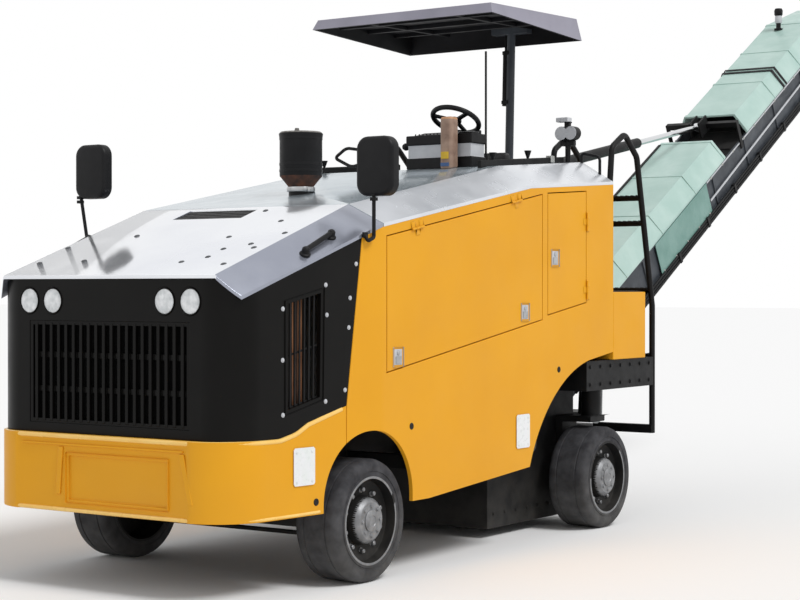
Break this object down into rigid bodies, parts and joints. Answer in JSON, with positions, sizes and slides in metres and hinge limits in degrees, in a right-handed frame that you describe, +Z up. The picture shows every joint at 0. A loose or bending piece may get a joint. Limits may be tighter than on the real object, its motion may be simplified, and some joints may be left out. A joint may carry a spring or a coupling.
{
  "type": "four-wheeled cold planer milling machine with rear conveyor",
  "caption": "Compact cold planer on solid tyres: sloping engine hood, milling drum under the rear, roofed driver's station, and a rear conveyor that slews and luffs.",
  "frame": {"origin": "on the ground under the middle of the overall length and width", "axes": "+X to the machine's left, +Y to its rear where the conveyor reaches out, +Z up"},
  "size_m": [2.216, 10.1827, 4.2836],
  "materials": {
    "yellow_paint": "gloss enamel",
    "white_paint": "gloss enamel",
    "black_paint": "semi-gloss powder coat",
    "mint_paint": "satin enamel",
    "grey_paint": "satin enamel",
    "tan_plastic": "moulded",
    "tyre_rubber": "solid rubber",
    "belt_rubber": "ribbed belt",
    "steel": "machined",
    "engine_iron": "painted casting",
    "copper_core": "finned core",
    "lamp_lens": "clear lens",
    "exhaust_steel": "heat-stained",
    "seat_vinyl": "padded vinyl"
  },
  "bodies": {
    "chassis": {"main_frame": "black_paint", "tail_frame": "black_paint", "front_bumper": "yellow_paint", "side_panel_left": "yellow_paint", "side_panel_right": "yellow_paint", "rear_wall": "yellow_paint", "nose_shell": "black_paint", "front_grille": "black_paint", "headlamps": "lamp_lens", "rear_boxes": "yellow_paint", "engine_block": "engine_iron", "radiator": "copper_core", "top_deck": "white_paint", "platform_floor": "black_paint", "exhaust_stack": "exhaust_steel", "console": "grey_paint", "control_column": "tan_plastic", "steering_wheel": "black_paint", "aerial": "black_paint", "seat": "seat_vinyl", "well_rails": "black_paint", "deck_lamp": "grey_paint", "roof_canopy": "grey_paint", "roof_mast": "black_paint", "ladders": "black_paint", "drum_housing": "black_paint", "front_axle": "black_paint", "rear_legs": "black_paint"},
    "hood": {"hood_lid": "white_paint", "hood_vent": "black_paint", "mirrors": "black_paint"},
    "door_front_left": {"door_front_left": "yellow_paint"},
    "door_front_right": {"door_front_right": "yellow_paint"},
    "door_rear_left": {"door_rear_left": "yellow_paint"},
    "door_rear_right": {"door_rear_right": "yellow_paint"},
    "knuckle_left": {"knuckle_left": "black_paint"},
    "knuckle_right": {"knuckle_right": "black_paint"},
    "tie_rod": {"tie_rod": "steel"},
    "wheel_front_left": {"tyre_front_left": "tyre_rubber", "rim_front_left": "black_paint"},
    "wheel_front_right": {"tyre_front_right": "tyre_rubber", "rim_front_right": "black_paint"},
    "wheel_rear_left": {"tyre_rear_left": "tyre_rubber", "rim_rear_left": "black_paint"},
    "wheel_rear_right": {"tyre_rear_right": "tyre_rubber", "rim_rear_right": "black_paint"},
    "drum": {"milling_drum": "steel"},
    "console": {"slew_console": "black_paint"},
    "conveyor": {"conveyor_frame": "black_paint", "conveyor_belt": "belt_rubber", "conveyor_cover": "mint_paint", "luff_portal": "black_paint"},
    "barrel": {"luff_barrel": "black_paint"},
    "rod": {"luff_rod": "steel"}
  },
  "joints": [
    {"name": "hood_open", "type": "hinge", "parent": "chassis", "child": "hood", "pos_m": [0, -3.931, 2.02713], "axis": [-1, 0, 0], "range_deg": [0, 60]},
    {"name": "door_front_left_open", "type": "hinge", "parent": "chassis", "child": "door_front_left", "pos_m": [0.978, -3.902, 1.85], "axis": [0, -0.9848, -0.1735], "range_deg": [0, 80]},
    {"name": "door_front_right_open", "type": "hinge", "parent": "chassis", "child": "door_front_right", "pos_m": [-0.978, -3.902, 1.85], "axis": [0, 0.9848, 0.1735], "range_deg": [0, 80]},
    {"name": "door_rear_left_open", "type": "hinge", "parent": "chassis", "child": "door_rear_left", "pos_m": [0.978, -1.665, 1.775], "axis": [0, 0, 1], "range_deg": [0, 100]},
    {"name": "door_rear_right_open", "type": "hinge", "parent": "chassis", "child": "door_rear_right", "pos_m": [-0.978, -1.665, 1.775], "axis": [0, 0, -1], "range_deg": [0, 100]},
    {"name": "steer_left", "type": "hinge", "parent": "chassis", "child": "knuckle_left", "pos_m": [0.63, -4.012, 0.33], "axis": [0, 0, 1], "range_deg": [-30, 30]},
    {"name": "steer_right", "type": "hinge", "parent": "chassis", "child": "knuckle_right", "pos_m": [-0.63, -4.012, 0.33], "axis": [0, 0, 1], "range_deg": [-30, 30]},
    {"name": "tie_rod_shift", "type": "slide", "parent": "chassis", "child": "tie_rod", "axis": [1, 0, 0], "range_m": [-0.0765, 0.0765]},
    {"name": "spin_front_left", "type": "hinge", "parent": "knuckle_left", "child": "wheel_front_left", "pos_m": [0.812, -4.012, 0.33], "axis": [1, 0, 0], "continuous": true},
    {"name": "spin_front_right", "type": "hinge", "parent": "knuckle_right", "child": "wheel_front_right", "pos_m": [-0.812, -4.012, 0.33], "axis": [1, 0, 0], "continuous": true},
    {"name": "spin_rear_left", "type": "hinge", "parent": "chassis", "child": "wheel_rear_left", "pos_m": [0.812, -1.328, 0.33], "axis": [1, 0, 0], "continuous": true},
    {"name": "spin_rear_right", "type": "hinge", "parent": "chassis", "child": "wheel_rear_right", "pos_m": [-0.812, -1.328, 0.33], "axis": [1, 0, 0], "continuous": true},
    {"name": "drum_spin", "type": "hinge", "parent": "chassis", "child": "drum", "pos_m": [0, -1.682, 0.56], "axis": [1, 0, 0], "continuous": true},
    {"name": "slew", "type": "hinge", "parent": "chassis", "child": "console", "pos_m": [0, -0.462, 0.65], "axis": [0, 0, 1], "range_deg": [-45, 45]},
    {"name": "luff", "type": "hinge", "parent": "console", "child": "conveyor", "pos_m": [0, -0.462, 1.01], "axis": [1, 0, 0], "range_deg": [-18, 8]},
    {"name": "barrel_tilt", "type": "hinge", "parent": "console", "child": "barrel", "pos_m": [0, -0.462, 2.45], "axis": [1, 0, 0], "range_deg": [-18.81, 8.36]},
    {"name": "rod_stroke", "type": "slide", "parent": "barrel", "child": "rod", "axis": [0, 0.9832, 0.1823], "range_m": [-0.1944, 0.4374]}
  ],
  "couplings": [
    {"joint": "steer_right", "follows": "steer_left", "ratio": 1},
    {"joint": "tie_rod_shift", "follows": "steer_left", "m_per_rad": -0.146},
    {"joint": "barrel_tilt", "follows": "luff", "ratio": 1.045},
    {"joint": "rod_stroke", "follows": "luff", "m_per_rad": -1.3923}
  ]
}
